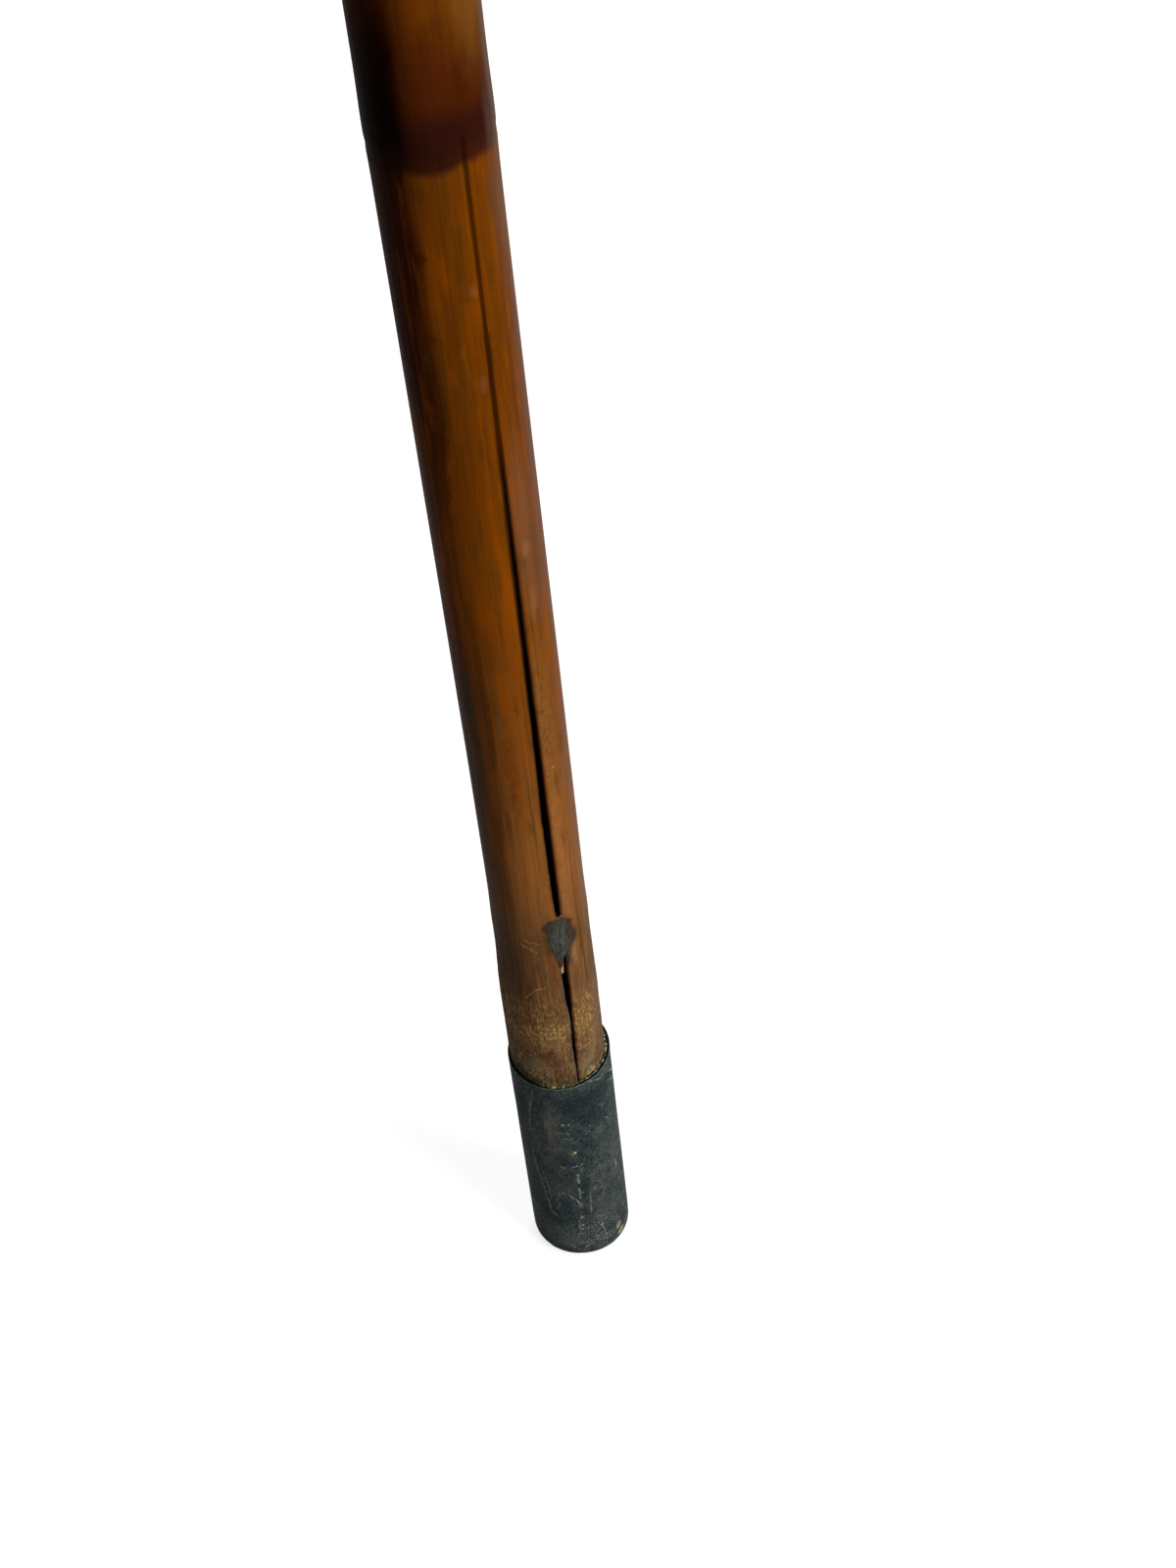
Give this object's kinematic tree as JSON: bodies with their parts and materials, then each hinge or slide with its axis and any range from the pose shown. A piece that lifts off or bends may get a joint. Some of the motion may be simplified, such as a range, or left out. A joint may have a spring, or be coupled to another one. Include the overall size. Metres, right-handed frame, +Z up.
{
  "type": "walking cane",
  "caption": "Straight walking cane: a cracked bamboo culm with a filled scar, in a blackened metal ferrule, under a carved hardwood knob.",
  "frame": {"origin": "centre of the ferrule's flat base, where the cane's tip meets the ground", "axes": "+Z up the cane towards the knob, -Y towards the side with the crack, X across"},
  "size_m": [0.048, 0.048, 0.9001],
  "materials": {
    "bamboo": "orange-brown varnish over bamboo, glossy above, worn matte near the ferrule, toasted at the nodes and down the left side",
    "blackened_metal": "blackened sheet metal, satin, scratched and rubbed",
    "brass": "dull worn pin ends",
    "hardwood": "dark stained hardwood, rubbed to a soft shine",
    "dowel_wood": "raw pale dowel, matte",
    "glue": "crumbly old glue, dull olive-beige",
    "putty": "dried dark filler, matte and lumpy"
  },
  "bodies": {
    "root": {"ferrule": "blackened_metal", "ferrule_glue": "glue", "ferrule_pin": "brass", "tip_plug": "dowel_wood", "culm": "bamboo", "scar_filler": "putty", "knob_dowel": "dowel_wood", "collar": "blackened_metal", "collar_pin_lower": "brass", "collar_pin_upper": "brass", "knob": "hardwood"}
  },
  "joints": []
}
